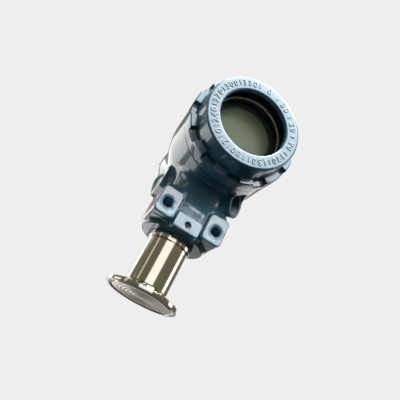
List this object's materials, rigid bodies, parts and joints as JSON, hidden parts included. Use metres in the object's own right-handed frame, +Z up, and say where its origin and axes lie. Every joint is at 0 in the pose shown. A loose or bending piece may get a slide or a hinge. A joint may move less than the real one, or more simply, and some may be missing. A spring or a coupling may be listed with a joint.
{
  "type": "pressure transmitter",
  "caption": "Process pressure transmitter in a cast housing, with a round display window, screw covers, conduit entries and a stainless neck that ends in a clamp ferrule.",
  "frame": {"origin": "centre of the clamp ferrule's sealing face", "axes": "+Z runs up the neck, the display looks towards -Y, +X is to the right of a person who reads the display"},
  "size_m": [0.0986, 0.1542, 0.1999],
  "materials": {
    "blue_enamel": "glossy steel-blue enamel on cast aluminium",
    "polished_steel": "polished stainless steel with fine turning marks",
    "ring_metal": "turned, lightly darkened",
    "plated_screws": "zinc plated",
    "black_rubber": "matt",
    "black_plastic": "fine moulded texture",
    "circuit_board": "solder mask",
    "display_cell": "grey-green liquid crystal cell",
    "clear_glass": "clear, polished"
  },
  "bodies": {
    "process_side": {"clamp_ferrule": "polished_steel", "process_diaphragm": "polished_steel", "neck_tube": "polished_steel", "neck_o_ring": "black_rubber", "capillary_tube": "polished_steel", "pressure_sensor": "polished_steel", "sensor_seat": "polished_steel", "sensor_board": "circuit_board"},
    "electronics_housing": {"housing": "blue_enamel", "neck_lock_screw": "plated_screws", "display_screen": "display_cell", "display_bezel": "black_plastic", "display_board": "circuit_board", "display_standoffs": "plated_screws", "electronics_module": "black_plastic", "module_screws": "plated_screws", "terminal_block": "black_plastic", "terminal_block_screws": "plated_screws", "terminal_washers": "plated_screws", "terminal_screws": "plated_screws", "ground_washer": "plated_screws", "ground_screw": "plated_screws"},
    "display_seal": {"display_cover_o_ring": "black_rubber"},
    "display_cover_group": {"display_cover": "blue_enamel", "window_glass": "clear_glass", "window_gasket": "black_rubber", "window_retaining_ring": "ring_metal"},
    "rear_seal": {"rear_cover_o_ring": "black_rubber"},
    "rear_cover_group": {"rear_cover": "blue_enamel"}
  },
  "joints": [
    {"name": "neck_turn", "type": "hinge", "parent": "process_side", "child": "electronics_housing", "pos_m": [0, 0, 0.07], "axis": [0, 0, 1], "range_deg": [-180, 180]},
    {"name": "display_cover_travel", "type": "slide", "parent": "electronics_housing", "child": "display_seal", "axis": [0, -1, 0], "range_m": [0, 0.01405]},
    {"name": "display_cover_turn", "type": "hinge", "parent": "display_seal", "child": "display_cover_group", "pos_m": [0, -0.06, 0.1506], "axis": [0, -1, 0], "range_deg": [0, 2520]},
    {"name": "rear_cover_travel", "type": "slide", "parent": "electronics_housing", "child": "rear_seal", "axis": [0, 1, 0], "range_m": [0, 0.01405]},
    {"name": "rear_cover_turn", "type": "hinge", "parent": "rear_seal", "child": "rear_cover_group", "pos_m": [0, 0.06, 0.1506], "axis": [0, 1, 0], "range_deg": [0, 2520]}
  ],
  "couplings": [
    {"joint": "display_cover_travel", "follows": "display_cover_turn", "m_per_rad": 0.00031831},
    {"joint": "rear_cover_travel", "follows": "rear_cover_turn", "m_per_rad": 0.00031831}
  ]
}
